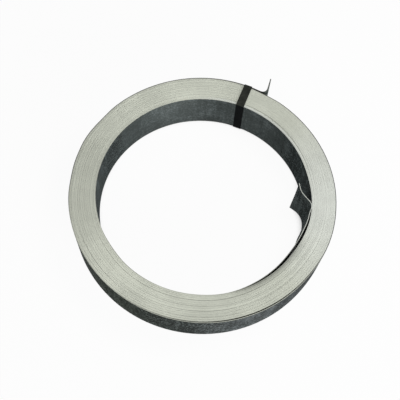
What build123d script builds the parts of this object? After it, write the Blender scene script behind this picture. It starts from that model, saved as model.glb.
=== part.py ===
from build123d import *
import os
from math import cos, radians, sin

# A coil of galvanised steel strip lying on its end, held by one plastic strap.
# Seen from above the strip winds outwards clockwise. Its innermost lap has sprung
# free of the bore and its end turns inwards. The outer end is bent out as a lip.
# Z runs up the axis of the coil and Z = 0 is the floor under the strap.
# Lengths are in millimetres and angles in degrees from +X, seen from above.

# Strip
strip_width = 40.0
strip_thickness = 0.6

# Winding: some joints between turns stand open as grooves on both ends, and the
# tight turns between two grooves show there as one crowned ring
bore_radius = 94.3
turn_count = 38
winding_slack = 0.013
ring_count = 12
ring_crown = 0.3

# Innermost lap, which leaves the bore wall, stands clear of it and then bends in
lap_gap = 1.3
lap_root_angle = -80.0
lap_clear_angle = -35.0
lap_bend_angle = -3.0

# Inner end, bent further in at the foot than at the head, so it stands twisted
inner_bend_run = 12.0
inner_tip_run = 8.0
foot_bend = 60.0
head_bend = 36.0

# Lip at the outer end
lip_root_angle = 67.5
lip_bend_radius = 5.8
lip_bend = 101.5
lip_length = 8.2

# Strap, with its ends lapped and welded on the outer wall
strap_width = 7.6
strap_thickness = 0.5
strap_slack = 0.1
strap_angle = 73.0
weld_length = 22.0

# Sizes that follow
quarter_turn = 90.0
turn_pitch = strip_thickness + winding_slack
outer_radius = bore_radius + turn_count * turn_pitch
half_crown = ring_crown / 2
strip_foot = strap_thickness + strap_slack + half_crown
strip_head = strip_foot + strip_width
lap_radius = bore_radius - lap_gap - strip_thickness / 2
lap_root_radius = bore_radius + strip_thickness
lip_root_radius = outer_radius - strip_thickness


def around(radius, angle):
    """Point in plan at a radius and an angle."""
    return Vector(radius * cos(radians(angle)), radius * sin(radians(angle)))


def heading(angle):
    """Direction in plan, a unit long."""
    return around(1, angle)


# The strip: wound turns, loose lap, inner end and lip are one length of band
open_joints = [round(ring * turn_count / ring_count) for ring in range(ring_count + 1)]
groove_radii = [bore_radius + joint * turn_pitch for joint in open_joints]
end_profile = [(bore_radius, -half_crown)]
for inner_groove, outer_groove in zip(groove_radii, groove_radii[1:]):
    end_profile.append(((inner_groove + outer_groove) / 2, half_crown))
    end_profile.append((outer_groove, -half_crown))
foot_edges = [(radius, strip_foot - rise) for radius, rise in end_profile]
head_edges = [(radius, strip_head + rise) for radius, rise in end_profile]

with BuildPart() as strip_coil:
    # Wound turns, showing as rings on both ends
    with BuildSketch(Plane.XZ):
        with BuildLine():
            Polyline(*foot_edges, *reversed(head_edges), close=True)
        make_face()
    revolve(axis=Axis.Z)

    # Innermost lap, easing off the bore wall
    with BuildSketch(Plane.XY.offset(strip_foot)):
        with BuildLine():
            lap_run = CenterArc((0, 0), lap_radius, lap_clear_angle, lap_bend_angle - lap_clear_angle)
            TangentArc(
                lap_run @ 0,
                around(lap_root_radius, lap_root_angle),
                tangent=heading(lap_clear_angle - quarter_turn),
            )
        trace(line_width=strip_thickness)
    extrude(amount=strip_width)

    # Inner end, drawn between its foot and its head
    for level, bend in ((strip_foot, foot_bend), (strip_head, head_bend)):
        with BuildSketch(Plane.XY.offset(level)):
            with BuildLine():
                inner_bend = JernArc(
                    around(lap_radius, lap_bend_angle),
                    heading(lap_bend_angle + quarter_turn),
                    inner_bend_run / radians(bend),
                    bend,
                )
                Line(inner_bend @ 1, inner_bend @ 1 + (inner_bend % 1) * inner_tip_run)
            trace(line_width=strip_thickness)
    loft(ruled=True)

    # Outer end, leaving the outermost turn and bent out as a lip
    with BuildSketch(Plane.XY.offset(strip_foot)):
        with BuildLine():
            outer_bend = JernArc(
                around(lip_root_radius, lip_root_angle),
                heading(lip_root_angle - quarter_turn),
                lip_bend_radius,
                lip_bend,
            )
            Line(outer_bend @ 1, outer_bend @ 1 + (outer_bend % 1) * lip_length)
        trace(line_width=strip_thickness)
    extrude(amount=strip_width)
strip_coil.part.label = "strip_coil"

# The strap: a flat band round the section, curved with the walls, with parallel sides
section_width = outer_radius - bore_radius + 2 * strap_slack
section_height = strip_width + ring_crown + 2 * strap_slack
section_middle = (bore_radius + outer_radius) / 2
section_level = strap_thickness + section_height / 2
strap_reach = outer_radius + strap_slack + 2 * strap_thickness
strap_height = section_height + 2 * strap_thickness

with BuildPart() as strap:
    with BuildSketch(Plane.XZ):
        with Locations((section_middle, section_level)):
            RectangleRounded(section_width + 2 * strap_thickness, strap_height, strap_thickness)
            Rectangle(section_width, section_height, mode=Mode.SUBTRACT)
        with Locations((strap_reach, section_level)):
            Rectangle(2 * strap_thickness, weld_length, align=(Align.MAX, Align.CENTER))
    revolve(axis=Axis.Z)
    with BuildSketch(Plane.XY.rotated((0, 0, strap_angle))):
        Rectangle(strap_reach, strap_width, align=(Align.MIN, Align.CENTER))
    extrude(amount=strap_height, mode=Mode.INTERSECT)
strap.part.label = "strap"

os.makedirs("parts", exist_ok=True)
export_step(strip_coil.part, "parts/strip_coil.step")
export_step(strap.part, "parts/strap.step")
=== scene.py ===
from math import atan2, cos, degrees, hypot, pi, radians, sin, sqrt

import bmesh
import bpy
from bpy.props import FloatProperty, FloatVectorProperty, IntProperty, PointerProperty
from mathutils import Matrix, Vector, noise


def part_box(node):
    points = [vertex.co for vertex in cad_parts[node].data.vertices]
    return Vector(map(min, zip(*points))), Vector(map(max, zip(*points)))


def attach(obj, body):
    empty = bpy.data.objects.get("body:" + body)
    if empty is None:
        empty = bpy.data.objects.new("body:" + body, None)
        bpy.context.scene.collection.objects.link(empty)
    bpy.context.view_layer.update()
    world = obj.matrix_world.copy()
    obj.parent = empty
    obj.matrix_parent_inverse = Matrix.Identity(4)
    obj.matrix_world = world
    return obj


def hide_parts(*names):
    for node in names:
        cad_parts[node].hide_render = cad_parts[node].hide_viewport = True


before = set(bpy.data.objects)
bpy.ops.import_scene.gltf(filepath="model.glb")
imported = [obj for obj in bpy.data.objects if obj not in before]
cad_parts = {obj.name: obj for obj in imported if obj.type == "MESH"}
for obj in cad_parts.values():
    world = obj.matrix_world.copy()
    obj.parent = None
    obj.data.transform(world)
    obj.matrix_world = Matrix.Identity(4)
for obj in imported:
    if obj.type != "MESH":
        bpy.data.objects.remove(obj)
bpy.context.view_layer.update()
coil_low, coil_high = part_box("strip_coil")
strap_low, strap_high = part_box("strap")

bl_info = {
    "name": "Steel strip coil",
    "version": (1, 0, 0),
    "blender": (4, 5, 0),
    "location": "View3D > Sidebar > Coil",
    "description": "Winds a coil of galvanised strip, straps it and sets it on a studio floor",
    "category": "Add Mesh",
}

# Lengths are in metres and angles in degrees from +X, seen from above.
MM = 0.001
FULL_TURN = 360.0

# The strip winds outwards clockwise. Its turns are counted from the angle of the lip.
SEAM_ANGLE = 67.5
LOOSE_END_ANGLE = -8.0
STEPS_PER_TURN = 128
WALL_ROWS = 4

# Out of round: angle, reach to each side, push at the bore and push at the outside
DENTS = (
    (-75.0, 18.0, 0.4 * MM, 0.0),
    (-40.0, 30.0, 0.3 * MM, 0.0),
    (-9.0, 28.0, 1.75 * MM, 0.1 * MM),
    (-19.0, 20.0, 0.0, 0.65 * MM),
    (46.0, 46.0, 0.0, -1.1 * MM),
    (146.0, 9.0, 0.0, -0.7 * MM),
    (159.0, 8.0, 0.0, 0.4 * MM),
    (179.0, 10.0, 0.0, -0.45 * MM),
    (190.0, 20.0, 0.0, 0.2 * MM),
    (219.0, 14.0, -0.5 * MM, 0.0),
)

# Turns wound tight on one another, group by group, with some air after each group. The air
# between groups takes up this share of the slack, most of it near one angle.
TIGHT_GROUPS = (3, 2, 4, 2, 3, 3, 2, 4, 3, 2, 3, 4, 3)
TIGHT_GAP = 0.006 * MM
GROUP_SHIFT = 0.38
GROUP_EASE = 0.12
GROUPED_ANGLE = 300.0
GROUPED_REACH = 90.0
GROUPED_LEAST = 0.62
GROUPED_MOST = 0.88

# Joints between turns that stand open: turn, angle, reach to each side and gap
OPEN_JOINTS = (
    (5.0, 38.0, 54.0, 0.24 * MM),
    (6.0, 60.0, 50.0, 0.27 * MM),
    (7.8, -72.0, 40.0, 0.16 * MM),
    (7.6, 234.0, 45.0, 0.12 * MM),
    (22.8, 280.0, 20.0, 0.14 * MM),
    (24.0, 308.0, 24.0, 0.16 * MM),
    (25.7, 246.0, 22.0, 0.14 * MM),
    (26.8, 290.0, 28.0, 0.14 * MM),
    (29.0, 222.0, 32.0, 0.22 * MM),
    (30.5, 282.0, 40.0, 0.12 * MM),
    (36.4, 302.0, 42.0, 0.19 * MM),
    (37.5, 66.0, 11.0, 0.8 * MM),
)

# The outermost lap leans out at its head
FLARE_ANGLE = 292.0
FLARE_REACH = 64.0
FLARE_DEPTH = 0.7 * MM

# The innermost lap bows in from the bore: it leaves it, stands clear and comes back
BOW_START = -76.0
BOW_CLEAR = -28.0
BOW_DEPTH = 2.1 * MM
BOW_TURN_BACK = -20.0
BOW_TURN_BACK_AT_FOOT = -13.5
BOW_RETURN = 1.0 * MM
BOW_AT_FOOT = 1.75

# Ends of the strip in plan: first heading, then the bends as start, end and angle
INNER_HEAD_HEADING = 73.0
INNER_HEAD_BENDS = ((4.0 * MM, 14.0 * MM, 59.0), (20.0 * MM, 28.0 * MM, -28.0))
INNER_HEAD_LENGTH = 32.2 * MM
INNER_FOOT_HEADING = 83.0
INNER_FOOT_BENDS = ((0.0 * MM, 26.0 * MM, 66.0),)
INNER_FOOT_LENGTH = 27.3 * MM
LIP_HEADING = -21.0
LIP_HEAD_BENDS = ((0.2 * MM, 11.0 * MM, 98.2),)
LIP_FOOT_BENDS = ((0.2 * MM, 11.0 * MM, 99.0),)
LIP_LENGTH = 21.3 * MM
LIP_SWELL = 0.5
LIP_SWELL_SHARE = 0.6
INNER_END_BELLY = 0.5 * MM
END_STEPS = 24

# Turns at the bore and at the outside that the bow and the flare reach, and waves of
# the stagger in a metre of strip
BOWED_TURNS = 0.5
FLARED_TURNS = 1.4
STAGGER_WAVES = 2.6
MERGE_DISTANCE = 0.005 * MM
SHARP_ANGLE = 30.0

# Strap: slack round the coil, bends, cut corners, gap in the lap and how its end comes down to it
STRAP_SLACK = 0.1 * MM
STRAP_BEND = 0.5 * MM
STRAP_CORNER = 0.15 * MM
STRAP_LAP_GAP = 0.04 * MM
STRAP_STRAIGHT_SHARE = 0.4
STRAP_STEPS = 6
EMBOSS_PITCH = 1.1 * MM

# Patterns of the zinc coat, in cells or waves in a metre, and the shift between its two faces
FACE_SHIFT = 9000.0
COARSE_CRYSTALS = 640.0
FINE_CRYSTALS = 1050.0
CLOUDS = 42.0
ROLLING_LINES = 700.0
UPRIGHT_STREAKS = 260.0

# Angles round the coil at which its tones, its painted highlights and its painted shade change most
BORE_HIGHLIGHT_ANGLE = 130.0
STRAP_SHADOW_ANGLE = 84.0
OUTER_HIGHLIGHT_ANGLE = 310.0
PAINTED_LIGHT_LEFT_ANGLE = 175.0
PALER_RIM_ANGLE = 262.0
DULL_BORE_EDGE_ANGLE = 228.0
BRIGHT_BAND_ANGLE = 55.0
LOOSE_GAP_ANGLE = -47.0

# Stage: floor, the narrow slots in which it is dark, soft boxes and lens
FLOOR_RADIUS = 2.0
FLOOR_SIDES = 96
FLOOR_WHITE = 0.955
SLOT_REACH = 30 * MM
SLOT_DARK = 0.30
SLOT_LIGHT = 0.46
SLOT_SAMPLES = 24
SIDE_LIGHT_SIZE = 0.25
SIDE_LIGHT_PLACE = (0.30, 0.10, 0.60)
FRONT_LIGHT_SIZE = 0.8
FRONT_LIGHT_PLACE = (0.92, -1.52, 0.33)
LENS_LENGTH = 65.875
SENSOR_WIDTH = 36.0
LENS_SHIFT = (-0.0062, 0.0010)
NEAREST_SEEN = 0.01


def eased(value, start, end):
    """Goes smoothly from 0 at the start to 1 at the end."""
    share = min(max((value - start) / (end - start), 0.0), 1.0)
    return share * share * (3.0 - 2.0 * share)


def angle_from(centre, angle):
    """Degrees from one angle to another, at most half a turn either way."""
    return (angle - centre + FULL_TURN / 2) % FULL_TURN - FULL_TURN / 2


def window(angle, centre, reach):
    """1 at the centre, falling smoothly to 0 at the reach."""
    share = abs(angle_from(centre, angle)) / reach
    return cos(share * pi / 2) ** 2 if share < 1.0 else 0.0


class StripSettings(bpy.types.PropertyGroup):
    """Sizes and colours of the wound strip."""

    width: FloatProperty(name="Width", description="Width of the strip", default=40 * MM, unit="LENGTH")
    thickness: FloatProperty(
        name="Thickness", description="Thickness of the strip", default=0.56 * MM, precision=5, unit="LENGTH"
    )
    corner: FloatProperty(
        name="Corner", description="Bevel on the slit edges", default=0.02 * MM, precision=5, unit="LENGTH"
    )
    turns: IntProperty(name="Turns", description="Turns in the coil", default=38, min=3)
    bore_radius: FloatProperty(
        name="Bore radius", description="Mean radius of the bore", default=94.3 * MM, unit="LENGTH"
    )
    stagger: FloatProperty(
        name="Stagger",
        description="How far the edges of turns stand above or below their neighbours",
        default=0.04 * MM,
        precision=5,
        unit="LENGTH",
    )
    zinc_dark: FloatVectorProperty(
        name="Dark spangle",
        description="Darkest crystals of the zinc coat",
        default=(0.0290, 0.0335, 0.0314),
        subtype="COLOR",
    )
    zinc_light: FloatVectorProperty(
        name="Light spangle",
        description="Lightest crystals of the zinc coat",
        default=(0.204, 0.232, 0.232),
        subtype="COLOR",
    )
    edge_colour: FloatVectorProperty(
        name="Slit edge",
        description="Bare metal of the slit edges",
        default=(0.694, 0.718, 0.620),
        subtype="COLOR",
    )


class StrapSettings(bpy.types.PropertyGroup):
    """Sizes and colour of the strap."""

    width: FloatProperty(name="Width", description="Width of the strap", default=7.6 * MM, unit="LENGTH")
    thickness: FloatProperty(
        name="Thickness", description="Thickness of the strap", default=0.5 * MM, precision=5, unit="LENGTH"
    )
    angle: FloatProperty(
        name="Angle",
        description="Where the strap sits round the coil",
        default=radians(73.0),
        subtype="ANGLE",
    )
    overlap: FloatProperty(
        name="Overlap", description="Length of the welded lap", default=22 * MM, unit="LENGTH"
    )
    colour: FloatVectorProperty(
        name="Plastic", description="Colour of the strap", default=(0.0025, 0.0031, 0.0037), subtype="COLOR"
    )


class StageSettings(bpy.types.PropertyGroup):
    """Floor, light and camera."""

    floor_colour: FloatVectorProperty(
        name="Floor", description="Colour of the floor", default=(0.82, 0.82, 0.82), subtype="COLOR"
    )
    sky_strength: FloatProperty(name="Sky", description="Light from all round", default=0.185)
    side_power: FloatProperty(
        name="Side light", description="Power of the soft box on the right", default=1.79, unit="POWER"
    )
    front_power: FloatProperty(
        name="Front light", description="Power of the low soft box in front", default=42.5, unit="POWER"
    )
    camera_elevation: FloatProperty(
        name="Elevation", description="Camera above the horizon", default=radians(66.03), subtype="ANGLE"
    )
    camera_distance: FloatProperty(
        name="Distance", description="Camera to the middle of the coil", default=661.7 * MM, unit="LENGTH"
    )
    camera_roll: FloatProperty(
        name="Roll",
        description="Turn of the camera about its own axis",
        default=radians(4.655),
        subtype="ANGLE",
    )


def add_node(tree, kind, inputs=None, **settings):
    """Adds a node, sets its options and sets or links its inputs."""
    made = tree.nodes.new(kind)
    for name, value in settings.items():
        setattr(made, name, value)
    for name, value in (inputs or {}).items():
        if isinstance(value, bpy.types.NodeSocket):
            tree.links.new(value, made.inputs[name])
        else:
            made.inputs[name].default_value = value
    return made


def maths(tree, operation, *values):
    """Output of a Math node."""
    return add_node(tree, "ShaderNodeMath", dict(enumerate(values)), operation=operation).outputs[0]


def mixed_colour(tree, share, first, second, blend="MIX"):
    """Output of a Mix node between two colours."""
    values = {0: share, 6: first, 7: second}
    return add_node(tree, "ShaderNodeMix", values, data_type="RGBA", blend_type=blend).outputs[2]


def ramp(tree, value, *stops):
    """Output of a colour ramp, its stops given as place and colour or grey level."""
    made = add_node(tree, "ShaderNodeValToRGB", {0: value})
    points = made.color_ramp.elements
    while len(points) < len(stops):
        points.new(0.5)
    for point, (place, colour) in zip(points, stops):
        point.position = place
        point.color = (*colour, 1.0) if isinstance(colour, tuple) else (colour, colour, colour, 1.0)
    return made.outputs["Color"]


def spread(tree, value, low, high, to_low, to_high):
    """Output of a Map Range node."""
    values = {"Value": value, "From Min": low, "From Max": high, "To Min": to_low, "To Max": to_high}
    return add_node(tree, "ShaderNodeMapRange", values).outputs["Result"]


def noise_level(tree, coordinate, scale, detail, dimensions="3D"):
    """Output of a Noise Texture node, which reads a single value in one dimension."""
    values = {"W" if dimensions == "1D" else "Vector": coordinate, "Scale": scale, "Detail": detail}
    return add_node(tree, "ShaderNodeTexNoise", values, noise_dimensions=dimensions).outputs["Fac"]


def crystal_cells(tree, sheet, scale):
    """Three random levels for each crystal of a flat sheet."""
    cells = add_node(tree, "ShaderNodeTexVoronoi", {"Vector": sheet, "Scale": scale}, voronoi_dimensions="2D")
    return add_node(tree, "ShaderNodeSeparateColor", {0: cells.outputs["Color"]}).outputs


def stretched(tree, vector, along, across):
    """Coordinates of a pattern, scaled along the strip and across it."""
    return add_node(tree, "ShaderNodeMapping", {"Vector": vector, "Scale": (along, across, 1.0)}).outputs[0]


def ring_angle(tree, place):
    """Angle round the coil, in radians."""
    axes = add_node(tree, "ShaderNodeSeparateXYZ", {0: place}).outputs
    return maths(tree, "ARCTAN2", axes["Y"], axes["X"])


def towards(tree, around, angle):
    """1 at an angle round the coil, falling to -1 on the far side."""
    return maths(tree, "COSINE", maths(tree, "SUBTRACT", around, radians(angle)))


def new_material(name):
    """An empty node material with its Principled shader, as (material, tree, shader)."""
    made = bpy.data.materials.new(name)
    made.use_nodes = True
    return made, made.node_tree, made.node_tree.nodes["Principled BSDF"]


def grime_group():
    """Node group: patchy dust and fine rubs over a surface, shared by the strip and the strap."""
    if "Grime" in bpy.data.node_groups:
        return bpy.data.node_groups["Grime"]
    group = bpy.data.node_groups.new("Grime", "ShaderNodeTree")
    group.interface.new_socket("Vector", in_out="INPUT", socket_type="NodeSocketVector")
    group.interface.new_socket("Patches", in_out="INPUT", socket_type="NodeSocketFloat")
    group.interface.new_socket("Rubs", in_out="INPUT", socket_type="NodeSocketFloat")
    group.interface.new_socket("Dust", in_out="OUTPUT", socket_type="NodeSocketFloat")
    group.interface.new_socket("Scuff", in_out="OUTPUT", socket_type="NodeSocketFloat")
    into = group.nodes.new("NodeGroupInput")
    out = group.nodes.new("NodeGroupOutput")
    patches = add_node(
        group,
        "ShaderNodeTexNoise",
        {"Vector": into.outputs["Vector"], "Scale": into.outputs["Patches"], "Detail": 5.0, "Roughness": 0.6},
    )
    rubs = add_node(
        group,
        "ShaderNodeTexNoise",
        {"Vector": into.outputs["Vector"], "Scale": into.outputs["Rubs"], "Detail": 3.0, "Distortion": 1.5},
    )
    group.links.new(spread(group, patches.outputs["Fac"], 0.38, 0.72, 0.0, 1.0), out.inputs["Dust"])
    group.links.new(spread(group, rubs.outputs["Fac"], 0.60, 0.72, 0.0, 1.0), out.inputs["Scuff"])
    return group


def add_grime(tree, vector, patches, rubs):
    """Places the grime group in a material."""
    made = tree.nodes.new("ShaderNodeGroup")
    made.node_tree = grime_group()
    tree.links.new(vector, made.inputs["Vector"])
    made.inputs["Patches"].default_value = patches
    made.inputs["Rubs"].default_value = rubs
    return made


def zinc_face_material(strip, strip_length):
    """Dull zinc coat: crystals of one to two millimetres, clouds, rolling lines and upright streaks."""
    made, tree, shader = new_material("zinc_face")
    flat = add_node(tree, "ShaderNodeAttribute", attribute_name="flat").outputs["Vector"]
    run, side, rise = add_node(tree, "ShaderNodeSeparateXYZ", {0: flat}).outputs
    around = ring_angle(tree, add_node(tree, "ShaderNodeTexCoord").outputs["Object"])
    inner_lap = 2 * pi * strip.bore_radius
    outer_lap = 2 * pi * coil_high.x
    # The two faces of the strip carry different stretches of the pattern
    along = maths(tree, "MULTIPLY_ADD", side, FACE_SHIFT, run)
    sheet = add_node(tree, "ShaderNodeCombineXYZ", {"X": along, "Y": rise}).outputs[0]
    coarse = crystal_cells(tree, stretched(tree, sheet, 1.4, 0.85), COARSE_CRYSTALS)
    fine = crystal_cells(tree, sheet, FINE_CRYSTALS)
    cloud = noise_level(tree, sheet, CLOUDS, 4.0, "2D")
    lines = noise_level(tree, stretched(tree, sheet, 0.02, 1.0), ROLLING_LINES, 2.0, "2D")
    streaks = noise_level(tree, stretched(tree, sheet, 1.0, 0.07), UPRIGHT_STREAKS, 3.0, "2D")
    # The outermost lap shows its crystals most
    last = spread(tree, run, strip_length - outer_lap - 0.1, strip_length - outer_lap, 0.0, 1.0)
    crystal = maths(tree, "SUBTRACT", coarse[0], 0.5)
    shade = maths(tree, "MULTIPLY_ADD", crystal, spread(tree, last, 0.0, 1.0, 0.13, 0.58), 0.35)
    shade = maths(tree, "MULTIPLY_ADD", fine[0], 0.20, shade)
    shade = maths(tree, "MULTIPLY_ADD", lines, 0.20, shade)
    # Clouds and streaks are weakest on the inner end and on the bright side of the bore
    facing = towards(tree, around, BORE_HIGHLIGHT_ANGLE)
    even = spread(tree, facing, 0.75, 0.92, 1.0, 0.6)
    clouded = spread(tree, run, 0.18 * inner_lap, 0.28 * inner_lap, 0.22, 0.44)
    clouded = maths(tree, "MULTIPLY", even, clouded)
    shade = maths(tree, "MULTIPLY_ADD", maths(tree, "SUBTRACT", cloud, 0.62), clouded, shade)
    streaked = maths(tree, "MULTIPLY", even, maths(tree, "SUBTRACT", streaks, 0.42))
    shade = maths(tree, "MULTIPLY_ADD", streaked, 0.34, shade)
    dark = tuple(strip.zinc_dark)
    light = tuple(strip.zinc_light)
    middle = tuple((3 * a + b) / 4 for a, b in zip(dark, light))
    colour = ramp(tree, shade, (0.10, dark), (0.55, middle), (0.95, light))
    # Painted light makes the bore wall brightest on the side of its highlight and darkest away from it
    dull = spread(tree, facing, -0.3, 0.9, 0.82, 1.12)
    # Painted shadow darkens the bore wall beside the strap
    strap_shadow = towards(tree, around, STRAP_SHADOW_ANGLE)
    dull = maths(tree, "MULTIPLY", dull, spread(tree, strap_shadow, 0.96, 1.0, 1.0, 0.85))
    # The outer wall is darker and warmer on the left, and painted paler and bluer towards the front right as
    # a highlight
    outer_highlight = spread(tree, towards(tree, around, OUTER_HIGHLIGHT_ANGLE), 0.3, 0.95, 0.0, 1.0)
    outer = mixed_colour(tree, outer_highlight, (0.77, 0.77, 0.665, 1.0), (0.83, 0.80, 0.82, 1.0))
    wall_tone_and_painted_light = mixed_colour(tree, last, dull, outer)
    # The back of the loose lap, which faces into the slot, is painted dark as shade
    behind = spread(tree, side, 0.0, strip.thickness / 4, 0.0, 1.0)
    loose = spread(tree, run, 0.43 * inner_lap, 0.5 * inner_lap, 0.85, 0.0)
    slot_shade = maths(tree, "MULTIPLY", behind, loose)
    wall_tone_and_painted_light = mixed_colour(tree, slot_shade, wall_tone_and_painted_light, (0.0, 0.0, 0.0, 1.0))
    # The zinc along the lip is painted brighter, as light falling on its face
    lip_painted_light = spread(tree, run, strip_length - LIP_LENGTH, strip_length - 0.3 * LIP_LENGTH, 0.0, 1.0)
    wall_tone_and_painted_light = mixed_colour(tree, lip_painted_light, wall_tone_and_painted_light, (1.35, 1.35, 1.3, 1.0))
    colour = mixed_colour(tree, 1.0, colour, wall_tone_and_painted_light, "MULTIPLY")
    grime = add_grime(tree, sheet, 28.0, 260.0)
    dusty = maths(tree, "MULTIPLY", grime.outputs["Dust"], 0.25)
    colour = mixed_colour(tree, dusty, colour, (0.036, 0.038, 0.034, 1.0))
    tree.links.new(colour, shader.inputs["Base Color"])
    tree.links.new(spread(tree, coarse[1], 0.0, 1.0, 0.80, 0.95), shader.inputs["Metallic"])
    tree.links.new(spread(tree, shade, 0.2, 0.8, 0.56, 0.44), shader.inputs["Roughness"])
    shader.inputs["Specular IOR Level"].default_value = 0.06
    shader.inputs["Specular Tint"].default_value = (0.2, 0.22, 0.23, 1.0)
    shader.inputs["Anisotropic"].default_value = 0.6
    shader.inputs["Anisotropic Rotation"].default_value = 0.25
    relief = maths(tree, "MULTIPLY_ADD", lines, 0.6, fine[2])
    bump = add_node(tree, "ShaderNodeBump", {"Height": relief, "Strength": 0.25, "Distance": 0.03 * MM})
    tree.links.new(bump.outputs[0], shader.inputs["Normal"])
    return made


def slit_edge_material(strip, strip_length):
    """Slit edges: bare metal, burnished on one half and torn on the other, its tone never quite even."""
    made, tree, shader = new_material("slit_edge")
    flat = add_node(tree, "ShaderNodeAttribute", attribute_name="flat").outputs["Vector"]
    run, side, _ = add_node(tree, "ShaderNodeSeparateXYZ", {0: flat}).outputs
    place = add_node(tree, "ShaderNodeTexCoord").outputs["Object"]
    around = ring_angle(tree, place)
    inner_lap = 2 * pi * strip.bore_radius
    outer_lap = 2 * pi * coil_high.x
    # The tone changes along the strip, and some stretches are stained
    slow = noise_level(tree, run, 3.3, 2.0, "1D")
    stained = noise_level(tree, run, 1.3, 0.0, "1D")
    torn = noise_level(tree, stretched(tree, flat, 1.0, 4.0), 900.0, 3.0)
    tone = spread(tree, slow, 0.3, 0.7, 0.945, 1.035)
    tone = maths(tree, "MULTIPLY", tone, spread(tree, stained, 0.60, 0.68, 1.0, 0.92))
    # Broad clouds cross the turns, and painted highlights make the tone rise and fall three times round the
    # ring
    cloud = noise_level(tree, place, 38.0, 3.0)
    tone = maths(tree, "MULTIPLY", tone, spread(tree, cloud, 0.3, 0.7, 0.92, 1.07))
    spoke_highlights = maths(tree, "COSINE", maths(tree, "MULTIPLY_ADD", around, 3.0, radians(15.0)))
    tone = maths(tree, "MULTIPLY", tone, maths(tree, "MULTIPLY_ADD", spoke_highlights, 0.08, 1.0))
    # Painted light makes the edges brighter on the left
    painted_light_side = towards(tree, around, PAINTED_LIGHT_LEFT_ANGLE)
    tone = maths(tree, "MULTIPLY", tone, maths(tree, "MULTIPLY_ADD", painted_light_side, 0.055, 1.0))
    tone = maths(tree, "MULTIPLY", tone, spread(tree, torn, 0.3, 0.7, 0.93, 1.05))
    across = spread(tree, side, -strip.thickness / 2, strip.thickness / 2, 0.0, 1.0)
    tone = maths(tree, "MULTIPLY", tone, spread(tree, across, 0.45, 0.6, 1.04, 0.96))
    # The outermost lap is darker, least of all in front and on the lip
    dulled = spread(tree, towards(tree, around, PALER_RIM_ANGLE), 0.0, 0.6, 0.06, 0.86)
    last = spread(tree, run, strip_length - outer_lap - 0.1, strip_length - outer_lap + 0.02, 0.0, 1.0)
    lip = spread(tree, run, strip_length - 0.8 * LIP_LENGTH, strip_length - 0.5 * LIP_LENGTH, 0.0, 0.4)
    tip = spread(tree, run, strip_length - 0.35 * LIP_LENGTH, strip_length, 1.0, 0.2)
    last = maths(tree, "SUBTRACT", last, maths(tree, "MULTIPLY", lip, tip))
    tone = maths(tree, "MULTIPLY", tone, spread(tree, last, 0.0, 1.0, 1.0, dulled))
    # The first lap is a little duller too, most on the near left
    first = spread(tree, towards(tree, around, DULL_BORE_EDGE_ANGLE), 0.93, 0.99, 0.84, 0.6)
    innermost = spread(tree, run, 1.2 * inner_lap, 1.5 * inner_lap, 1.0, 0.0)
    tone = maths(tree, "MULTIPLY", tone, spread(tree, innermost, 0.0, 1.0, 1.0, first))
    # The outer turns dull towards the rim
    outside = spread(tree, run, strip_length - 2.9 * outer_lap, strip_length - 1.1 * outer_lap, 1.0, 0.80)
    tone = maths(tree, "MULTIPLY", tone, outside)
    # The inner turns on the far right are brighter
    bright_band = spread(tree, towards(tree, around, BRIGHT_BAND_ANGLE), 0.7, 0.9, 0.0, 0.09)
    band = spread(tree, run, 3.8 * inner_lap, 4.3 * inner_lap, 1.0, 0.0)
    bright_band = maths(tree, "MULTIPLY", bright_band, band)
    tone = maths(tree, "MULTIPLY", tone, maths(tree, "ADD", bright_band, 1.0))
    # The turns beside the gap behind the loose lap are darkened by painted shade
    beside = spread(tree, towards(tree, around, LOOSE_GAP_ANGLE), 0.90, 0.985, 0.0, 1.0)
    inside = spread(tree, run, 0.5 * outer_lap, 7.5 * outer_lap, 0.55, 0.0)
    shaded = maths(tree, "MULTIPLY", beside, inside)
    tone = maths(tree, "MULTIPLY", tone, maths(tree, "SUBTRACT", 1.0, shaded))
    grime = add_grime(tree, flat, 20.0, 300.0)
    tone = maths(tree, "MULTIPLY", tone, spread(tree, grime.outputs["Dust"], 0.0, 1.0, 1.0, 0.93))
    # The edges are warm, but painted bluer as a highlight on the side of the loose end, and bluer too in the
    # bright band
    warm = Vector(strip.edge_colour)
    highlight_tint = Vector((0.985 * warm.x, 0.985 * warm.y, 1.05 * warm.z))
    wear_and_sheen = spread(tree, towards(tree, around, 0.0), 0.7, 1.0, 0.0, 1.0)
    wear_and_sheen = maths(tree, "MAXIMUM", wear_and_sheen, maths(tree, "MULTIPLY", bright_band, 11.0))
    base = mixed_colour(tree, wear_and_sheen, (*warm, 1.0), (*highlight_tint, 1.0))
    colour = mixed_colour(tree, 1.0, base, tone, "MULTIPLY")
    tree.links.new(colour, shader.inputs["Base Color"])
    tree.links.new(spread(tree, torn, 0.3, 0.7, 0.58, 0.72), shader.inputs["Roughness"])
    shader.inputs["Metallic"].default_value = 0.2
    shader.inputs["Specular IOR Level"].default_value = 0.25
    bump = add_node(tree, "ShaderNodeBump", {"Height": torn, "Strength": 0.1, "Distance": 0.004 * MM})
    tree.links.new(bump.outputs[0], shader.inputs["Normal"])
    return made


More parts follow.
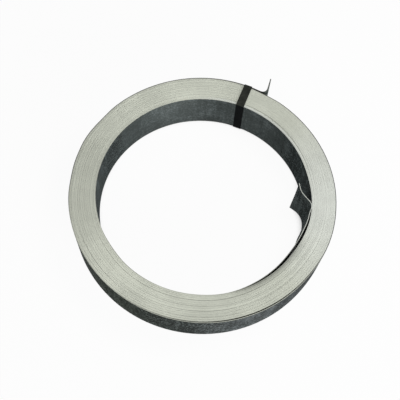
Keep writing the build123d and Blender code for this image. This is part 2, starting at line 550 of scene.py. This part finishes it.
def strap_material(strap):
    """Extruded plastic strap: embossed diamonds, scuffed paler in places, and paler olive grey in patches on
    its upward faces.
    """
    made, tree, shader = new_material("strap_plastic")
    coordinates = add_node(tree, "ShaderNodeTexCoord")
    place = coordinates.outputs["Object"]
    facing = add_node(tree, "ShaderNodeSeparateXYZ", {0: coordinates.outputs["Normal"]}).outputs["Z"]
    flat = add_node(tree, "ShaderNodeAttribute", attribute_name="flat").outputs["Vector"]
    run, side, _ = add_node(tree, "ShaderNodeSeparateXYZ", {0: flat}).outputs
    waves = 2 * pi / EMBOSS_PITCH
    rising = maths(tree, "SINE", maths(tree, "MULTIPLY", maths(tree, "ADD", run, side), waves))
    falling = maths(tree, "SINE", maths(tree, "MULTIPLY", maths(tree, "SUBTRACT", run, side), waves))
    diamonds = maths(tree, "MAXIMUM", rising, falling)
    grime = add_grime(tree, place, 180.0, 700.0)
    base = (*strap.colour, 1.0)
    wear_and_sheen = tuple(2.2 * level for level in strap.colour)
    colour = mixed_colour(tree, maths(tree, "MULTIPLY", grime.outputs["Scuff"], 0.5), base, (*wear_and_sheen, 1.0))
    # Faces that look up take a paler olive grey, in patches
    settled = spread(tree, facing, 0.3, 0.9, 0.02, 0.95)
    dusty = maths(tree, "MULTIPLY", spread(tree, grime.outputs["Dust"], 0.0, 1.0, 0.45, 1.0), settled)
    colour = mixed_colour(tree, dusty, colour, (0.053, 0.056, 0.047, 1.0))
    tree.links.new(colour, shader.inputs["Base Color"])
    tree.links.new(spread(tree, grime.outputs["Dust"], 0.0, 1.0, 0.42, 0.6), shader.inputs["Roughness"])
    shader.inputs["Specular IOR Level"].default_value = 0.012
    shader.inputs["Specular Tint"].default_value = (0.2, 0.22, 0.24, 1.0)
    bump = add_node(tree, "ShaderNodeBump", {"Height": diamonds, "Strength": 0.3, "Distance": 0.05 * MM})
    tree.links.new(bump.outputs[0], shader.inputs["Normal"])
    return made


def finish_piece(bm, name, materials, node):
    """Turns a bmesh into a piece that stands for a CAD node and rides on the coil."""
    bmesh.ops.recalc_face_normals(bm, faces=bm.faces)
    for face in bm.faces:
        face.smooth = True
    mesh = bpy.data.meshes.new(name)
    bm.to_mesh(mesh)
    bm.free()
    mesh.set_sharp_from_angle(angle=radians(SHARP_ANGLE))
    for material in materials:
        mesh.materials.append(material)
    piece = bpy.data.objects.new(name, mesh)
    bpy.context.scene.collection.objects.link(piece)
    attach(piece, "root")
    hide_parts(node)


class Winding:
    """How the strip lies in the coil."""

    def __init__(self, strip):
        self.strip = strip
        self.first_turn = (SEAM_ANGLE - LOOSE_END_ANGLE) / FULL_TURN
        bore_turn = self.first_turn + 0.5
        outer_turn = strip.turns - 0.5
        room = coil_high.x - strip.bore_radius - strip.thickness
        self.pitch = room / (outer_turn - bore_turn)
        self.start_radius = strip.bore_radius + strip.thickness / 2 - self.pitch * bore_turn
        self.foot = (coil_low.z + coil_high.z - strip.width) / 2

    def radius(self, turn):
        """Radius of the middle of the strip before it has settled."""
        return self.start_radius + self.pitch * turn

    def run(self, turn):
        """Length of strip wound up to a turn."""
        return 2 * pi * (self.start_radius * turn + self.pitch * turn * turn / 2)

    def settled(self, turn, angle, height):
        """How far the strip has moved outwards from the true spiral, at a share of its height."""
        turns = self.strip.turns
        at_bore = sum(window(angle, centre, reach) * push for centre, reach, push, _ in DENTS)
        outside = sum(window(angle, centre, reach) * push for centre, reach, _, push in DENTS)
        opened = 0.0
        moved = 0.0
        for joint_turn, centre, reach, gap in OPEN_JOINTS:
            width = window(angle, centre, reach) * gap
            opened += width
            if turn > joint_turn - angle_from(centre, angle) / FULL_TURN:
                moved += width
        # What the dents and the open joints leave free lies between the tight groups
        step = self.pitch + (outside - at_bore - opened) / turns
        slack = max(step - self.strip.thickness - TIGHT_GAP, 0.0)
        together = window(angle, GROUPED_ANGLE, GROUPED_REACH)
        grouped = GROUPED_LEAST + (GROUPED_MOST - GROUPED_LEAST) * together
        moved += at_bore + (step - self.pitch - slack * grouped) * turn
        moved += slack * grouped * self.tight_turns(turn)
        if turn < BOWED_TURNS:
            bow = BOW_DEPTH * eased(angle, BOW_START, BOW_CLEAR)
            turn_back = BOW_TURN_BACK_AT_FOOT + (BOW_TURN_BACK - BOW_TURN_BACK_AT_FOOT) * height
            bow -= BOW_RETURN * eased(angle, turn_back, LOOSE_END_ANGLE)
            moved -= bow * (BOW_AT_FOOT + (1.0 - BOW_AT_FOOT) * height)
        if turn > turns - FLARED_TURNS:
            moved += FLARE_DEPTH * height * height * window(angle, FLARE_ANGLE, FLARE_REACH)
        return moved

    def tight_turns(self, turn):
        """Turns in the tight groups that end before a turn."""
        wound = 0
        passed = 0.0
        for number, group in enumerate(TIGHT_GROUPS):
            wound += group
            joint = wound - GROUP_SHIFT * (number % 3)
            passed += group * eased(turn, joint - GROUP_EASE, joint + GROUP_EASE)
        return passed

    def lift(self, run):
        """How far the edges stand above or below the level of the coil."""
        return self.strip.stagger * noise.noise(Vector((STAGGER_WAVES * run, 0.5, 0.5)))

    def place(self, turn, angle, side, rise):
        """Place of a point of the wound strip."""
        radius = self.radius(turn) + side + self.settled(turn, degrees(angle), rise / self.strip.width)
        level = self.foot + rise + self.lift(self.run(turn))
        return Vector((radius * cos(angle), radius * sin(angle), level))


def strip_section(bm, strip, radius, angle):
    """Cross-section of the strip with cut corners, upright at an angle."""
    flat = bm.verts.layers.float_vector["flat"]
    half = strip.thickness / 2
    cut = strip.corner
    foot = [(half, cut), (half - cut, 0.0), (cut - half, 0.0), (-half, cut)]
    head = [(side, strip.width - rise) for side, rise in reversed(foot)]
    rows = [strip.width * row / WALL_ROWS for row in range(1, WALL_ROWS)]
    outline = foot + [(-half, rise) for rise in rows] + head + [(half, rise) for rise in reversed(rows)]
    corners = []
    for side, rise in outline:
        corner = bm.verts.new(((radius + side) * cos(angle), (radius + side) * sin(angle), rise))
        corner[flat] = (0.0, side, rise)
        corners.append(corner)
    sides = [bm.edges.new(pair) for pair in zip(corners, corners[1:] + corners[:1])]
    return corners + sides


def wind_turns(bm, winding):
    """Spins the loose lap from its end to the seam and, in one go, every later turn from seam to seam."""
    strip = winding.strip
    starts = [(LOOSE_END_ANGLE, [winding.first_turn], 1.0 - winding.first_turn)]
    starts.append((SEAM_ANGLE, range(1, strip.turns), 1.0))
    for start_angle, turns, share in starts:
        angle = radians(start_angle)
        sections = []
        for turn in turns:
            sections += strip_section(bm, strip, winding.radius(turn), angle)
        steps = round(STEPS_PER_TURN * share)
        outwards = Vector((cos(angle), sin(angle), 0.0)) * winding.pitch * share / steps
        bmesh.ops.spin(
            bm, geom=sections, axis=(0, 0, -1), dvec=outwards, angle=2 * pi * share, steps=steps
        )
    bmesh.ops.remove_doubles(bm, verts=bm.verts, dist=MERGE_DISTANCE)


def settle_turns(bm, winding):
    """Moves the true spiral to where its turns lie, and notes each point's place on the flat strip."""
    flat = bm.verts.layers.float_vector["flat"]
    for point in bm.verts:
        _, side, rise = point[flat]
        angle = atan2(point.co.y, point.co.x)
        counted = (hypot(point.co.x, point.co.y) - side - winding.start_radius) / winding.pitch
        part = (SEAM_ANGLE - degrees(angle)) % FULL_TURN / FULL_TURN
        turn = round(counted - part) + part
        point.co = winding.place(turn, angle, side, rise)
        point[flat] = (winding.run(turn), side, rise)


def bent_path(start, heading, bends, length):
    """Points and headings of a path in plan that bends smoothly, from its start."""
    step = length / END_STEPS
    place = start.copy()
    path = [(place.copy(), heading)]
    for number in range(END_STEPS):
        middle = (number + 0.5) * step
        turned = heading + sum(angle * eased(middle, begin, end) for begin, end, angle in bends)
        place += Vector((cos(radians(turned)), sin(radians(turned)))) * step
        path.append((place.copy(), turned))
    return path


def extend_strip(bm, winding, rim, foot_path, head_path, outward, length, belly=0.0, swell=0.0):
    """Extrudes an end of the strip along one path at its foot and another at its head."""
    flat = bm.verts.layers.float_vector["flat"]
    strip = winding.strip
    first_run = next(iter(rim)).verts[0][flat][0]
    level = winding.foot + winding.lift(first_run)
    steps = zip(foot_path[1:], head_path[1:])
    for number, ((foot, foot_heading), (head, head_heading)) in enumerate(steps, 1):
        grown = bmesh.ops.extrude_edge_only(bm, edges=list(rim))["geom"]
        rim = [part for part in grown if isinstance(part, bmesh.types.BMEdge)]
        for point in (part for part in grown if isinstance(part, bmesh.types.BMVert)):
            _, side, rise = point[flat]
            share = rise / strip.width
            heading = radians(foot_heading + (head_heading - foot_heading) * share)
            bowed = belly * 4.0 * share * (1.0 - share) * (number / END_STEPS) ** 2
            thicker = 1.0 + swell * eased(number / END_STEPS, 0.0, LIP_SWELL_SHARE)
            across = Vector((-sin(heading), cos(heading))) * outward * (side * thicker + bowed)
            plan = foot.lerp(head, share) + across
            point.co = (plan.x, plan.y, level + rise)
            point[flat] = (first_run + outward * length * number / END_STEPS, side, rise)
    bmesh.ops.edgeloop_fill(bm, edges=rim)


class COIL_OT_wind_strip(bpy.types.Operator):
    """Winds the strip, with its sprung inner end and its bent lip"""

    bl_idname = "coil.wind_strip"
    bl_label = "Wind the strip"

    def execute(self, context):
        strip = context.scene.coil_strip
        winding = Winding(strip)
        bm = bmesh.new()
        bm.verts.layers.float_vector.new("flat")
        wind_turns(bm, winding)
        settle_turns(bm, winding)
        flat = bm.verts.layers.float_vector["flat"]
        rims = [edge for edge in bm.edges if edge.is_boundary]
        halfway = winding.run(strip.turns / 2)
        inner_rim = [edge for edge in rims if edge.verts[0][flat][0] < halfway]
        outer_rim = [edge for edge in rims if edge.verts[0][flat][0] > halfway]
        inner_foot = winding.place(winding.first_turn, radians(LOOSE_END_ANGLE), 0.0, 0.0).xy
        inner_head = winding.place(winding.first_turn, radians(LOOSE_END_ANGLE), 0.0, strip.width).xy
        outer_root = winding.place(strip.turns, radians(SEAM_ANGLE), 0.0, 0.0).xy
        head = bent_path(inner_head, INNER_HEAD_HEADING, INNER_HEAD_BENDS, INNER_HEAD_LENGTH)
        foot = bent_path(inner_foot, INNER_FOOT_HEADING, INNER_FOOT_BENDS, INNER_FOOT_LENGTH)
        lip_head = bent_path(outer_root, LIP_HEADING, LIP_HEAD_BENDS, LIP_LENGTH)
        lip_foot = bent_path(outer_root, LIP_HEADING, LIP_FOOT_BENDS, LIP_LENGTH)
        extend_strip(bm, winding, inner_rim, foot, head, -1.0, INNER_HEAD_LENGTH, INNER_END_BELLY)
        extend_strip(bm, winding, outer_rim, lip_foot, lip_head, 1.0, LIP_LENGTH, swell=LIP_SWELL)
        # Walls take the zinc, slit edges and cut ends the bare metal
        for face in bm.faces:
            sides = {round(point[flat][1] / strip.corner, 2) for point in face.verts}
            face.material_index = 0 if len(sides) == 1 else 1
        length = winding.run(strip.turns) + LIP_LENGTH
        materials = [zinc_face_material(strip, length), slit_edge_material(strip, length)]
        finish_piece(bm, "wound_strip", materials, "strip_coil")
        return {"FINISHED"}


class COIL_OT_fit_strap(bpy.types.Operator):
    """Passes the strap round the coil and laps its ends on the outer wall"""

    bl_idname = "coil.fit_strap"
    bl_label = "Fit the strap"

    def execute(self, context):
        strap = context.scene.coil_strap
        bm = bmesh.new()
        flat = bm.verts.layers.float_vector.new("flat")
        half = strap.thickness / 2
        inner = context.scene.coil_strip.bore_radius - STRAP_SLACK - half
        outer = coil_high.x + STRAP_SLACK + half
        low = strap_low.z + half
        high = strap_high.z - half
        middle = (low + high) / 2
        bend = half + STRAP_BEND
        corner = STRAP_CORNER
        width = strap.width / 2
        outline = (
            (half, corner - width),
            (half - corner, -width),
            (corner - half, -width),
            (-half, corner - width),
            (-half, width - corner),
            (corner - half, width),
            (half - corner, width),
            (half, width - corner),
        )
        start = middle + strap.overlap / 2
        points = [bm.verts.new((outer + out, across, start)) for out, across in outline]
        rim = [bm.edges.new(pair) for pair in zip(points, points[1:] + points[:1])]
        bmesh.ops.edgeloop_fill(bm, edges=rim)
        # Down the outer wall, under the coil, up the bore and over the top, with a bend after each run
        runs = (
            ((0.0, 0.0, low + bend - start), (outer - bend, 0.0, low + bend)),
            ((inner + 2 * bend - outer, 0.0, 0.0), (inner + bend, 0.0, low + bend)),
            ((0.0, 0.0, high - low - 2 * bend), (inner + bend, 0.0, high - bend)),
            ((outer - inner - 2 * bend, 0.0, 0.0), (outer - bend, 0.0, high - bend)),
        )
        for move, centre in runs:
            rim = self.pull(bm, rim, Vector(move), STRAP_STEPS)
            spun = bmesh.ops.spin(
                bm,
                geom=rim + list({point for edge in rim for point in edge.verts}),
                cent=centre,
                axis=(0, 1, 0),
                angle=pi / 2,
                steps=STRAP_STEPS,
            )
            rim = [part for part in spun["geom_last"] if isinstance(part, bmesh.types.BMEdge)]
        # Then down to the lap, over the strap's own beginning
        drop = high - bend - start
        lapped = strap.thickness + STRAP_LAP_GAP
        leaning = 1.0 - STRAP_STRAIGHT_SHARE
        rim = self.pull(bm, rim, Vector((0.0, 0.0, -STRAP_STRAIGHT_SHARE * drop)), 1)
        rim = self.pull(bm, rim, Vector((lapped, 0.0, -leaning * drop)), 2)
        rim = self.pull(bm, rim, Vector((0.0, 0.0, -strap.overlap)), 4)
        bmesh.ops.edgeloop_fill(bm, edges=rim)
        for point in bm.verts:
            out, across, level = point.co
            point[flat] = (level + out, across, 0.0)
            point.co.x = sqrt(out * out - across * across)
        turned = Matrix.Rotation(strap.angle, 4, "Z")
        bmesh.ops.transform(bm, matrix=turned, verts=bm.verts)
        finish_piece(bm, "strap_band", [strap_material(strap)], "strap")
        return {"FINISHED"}

    def pull(self, bm, rim, move, steps):
        """Extrudes the open end of the strap along a straight run."""
        for _ in range(steps):
            grown = bmesh.ops.extrude_edge_only(bm, edges=rim)["geom"]
            rim = [part for part in grown if isinstance(part, bmesh.types.BMEdge)]
            points = [part for part in grown if isinstance(part, bmesh.types.BMVert)]
            bmesh.ops.translate(bm, vec=move / steps, verts=points)
        return rim


class COIL_OT_set_stage(bpy.types.Operator):
    """Lays the floor and sets the light and the camera"""

    bl_idname = "coil.set_stage"
    bl_label = "Set the stage"

    def execute(self, context):
        stage = context.scene.coil_stage
        self.lay_floor(context, stage)
        self.light(context, stage)
        self.camera(context, stage)
        context.scene.view_settings.view_transform = "Standard"
        return {"FINISHED"}

    def white_to_lens(self, tree):
        """1 for rays from the camera or from a gloss or clear surface, else 0."""
        path = tree.nodes.new("ShaderNodeLightPath")
        seen = maths(tree, "MAXIMUM", path.outputs["Is Camera Ray"], path.outputs["Is Glossy Ray"])
        return maths(tree, "MAXIMUM", seen, path.outputs["Is Transmission Ray"])

    def lay_floor(self, context, stage):
        bm = bmesh.new()
        bmesh.ops.create_circle(bm, cap_ends=True, segments=FLOOR_SIDES, radius=FLOOR_RADIUS)
        mesh = bpy.data.meshes.new("floor")
        bm.to_mesh(mesh)
        bm.free()
        floor = bpy.data.objects.new("floor", mesh)
        context.scene.collection.objects.link(floor)
        material = bpy.data.materials.new("floor_paper")
        material.use_nodes = True
        tree = material.node_tree
        tree.nodes.clear()
        paper = add_node(tree, "ShaderNodeBsdfDiffuse", {"Color": (*stage.floor_colour, 1.0)})
        white = add_node(tree, "ShaderNodeEmission", {"Color": (1.0, 1.0, 1.0, 1.0), "Strength": 1.0})
        # The paper is white to the lens, except in narrow slots where no light falls on it
        slot = add_node(tree, "ShaderNodeAmbientOcclusion", {"Distance": SLOT_REACH}, samples=SLOT_SAMPLES)
        lit = spread(tree, slot.outputs["AO"], SLOT_DARK, SLOT_LIGHT, 0.0, FLOOR_WHITE)
        share = maths(tree, "MULTIPLY", self.white_to_lens(tree), lit)
        both = add_node(tree, "ShaderNodeMixShader", {0: share, 1: paper.outputs[0], 2: white.outputs[0]})
        out = tree.nodes.new("ShaderNodeOutputMaterial")
        tree.links.new(both.outputs[0], out.inputs["Surface"])
        mesh.materials.append(material)

    def light(self, context, stage):
        world = bpy.data.worlds.new("studio")
        world.use_nodes = True
        tree = world.node_tree
        tree.nodes.clear()
        share = self.white_to_lens(tree)
        level = spread(tree, share, 0.0, 1.0, stage.sky_strength, 1.0)
        sky = add_node(tree, "ShaderNodeBackground", {"Color": (1.0, 1.0, 1.0, 1.0), "Strength": level})
        out = tree.nodes.new("ShaderNodeOutputWorld")
        tree.links.new(sky.outputs[0], out.inputs["Surface"])
        context.scene.world = world
        self.soft_box(context, "side_light", stage.side_power, SIDE_LIGHT_SIZE, SIDE_LIGHT_PLACE)
        self.soft_box(context, "front_light", stage.front_power, FRONT_LIGHT_SIZE, FRONT_LIGHT_PLACE)

    def soft_box(self, context, name, power, size, place):
        lamp = bpy.data.lights.new(name, "AREA")
        lamp.energy = power
        lamp.size = size
        holder = bpy.data.objects.new(name, lamp)
        holder.location = place
        holder.rotation_euler = (-Vector(place)).to_track_quat("-Z", "Y").to_euler()
        context.scene.collection.objects.link(holder)

    def camera(self, context, stage):
        lens = bpy.data.cameras.new("camera")
        lens.lens = LENS_LENGTH
        lens.sensor_width = SENSOR_WIDTH
        lens.shift_x, lens.shift_y = LENS_SHIFT
        lens.clip_start = NEAREST_SEEN
        holder = bpy.data.objects.new("camera", lens)
        middle = Vector((0.0, 0.0, (coil_low.z + coil_high.z) / 2))
        tilt = stage.camera_elevation
        back = Vector((0.0, -cos(tilt), sin(tilt)))
        aim = (-back).to_track_quat("-Z", "Y").to_matrix().to_4x4()
        roll = Matrix.Rotation(stage.camera_roll, 4, "Z")
        holder.matrix_world = Matrix.Translation(middle + back * stage.camera_distance) @ aim @ roll
        context.scene.collection.objects.link(holder)
        context.scene.camera = holder


class COIL_PT_panel(bpy.types.Panel):
    """Lists the pieces of the coil"""

    bl_idname = "COIL_PT_panel"
    bl_label = "Strip coil"
    bl_space_type = "VIEW_3D"
    bl_region_type = "UI"
    bl_category = "Coil"

    def draw(self, context):
        for settings, operator in (
            (context.scene.coil_strip, COIL_OT_wind_strip),
            (context.scene.coil_strap, COIL_OT_fit_strap),
            (context.scene.coil_stage, COIL_OT_set_stage),
        ):
            box = self.layout.box()
            for name in settings.__annotations__:
                box.prop(settings, name)
            box.operator(operator.bl_idname)


CLASSES = (
    StripSettings,
    StrapSettings,
    StageSettings,
    COIL_OT_wind_strip,
    COIL_OT_fit_strap,
    COIL_OT_set_stage,
    COIL_PT_panel,
)


def register():
    for made in CLASSES:
        bpy.utils.register_class(made)
    bpy.types.Scene.coil_strip = PointerProperty(type=StripSettings)
    bpy.types.Scene.coil_strap = PointerProperty(type=StrapSettings)
    bpy.types.Scene.coil_stage = PointerProperty(type=StageSettings)


def unregister():
    del bpy.types.Scene.coil_stage
    del bpy.types.Scene.coil_strap
    del bpy.types.Scene.coil_strip
    for made in reversed(CLASSES):
        bpy.utils.unregister_class(made)


def main():
    register()
    bpy.ops.coil.wind_strip()
    bpy.ops.coil.fit_strap()
    bpy.ops.coil.set_stage()


if __name__ == "__main__":
    main()
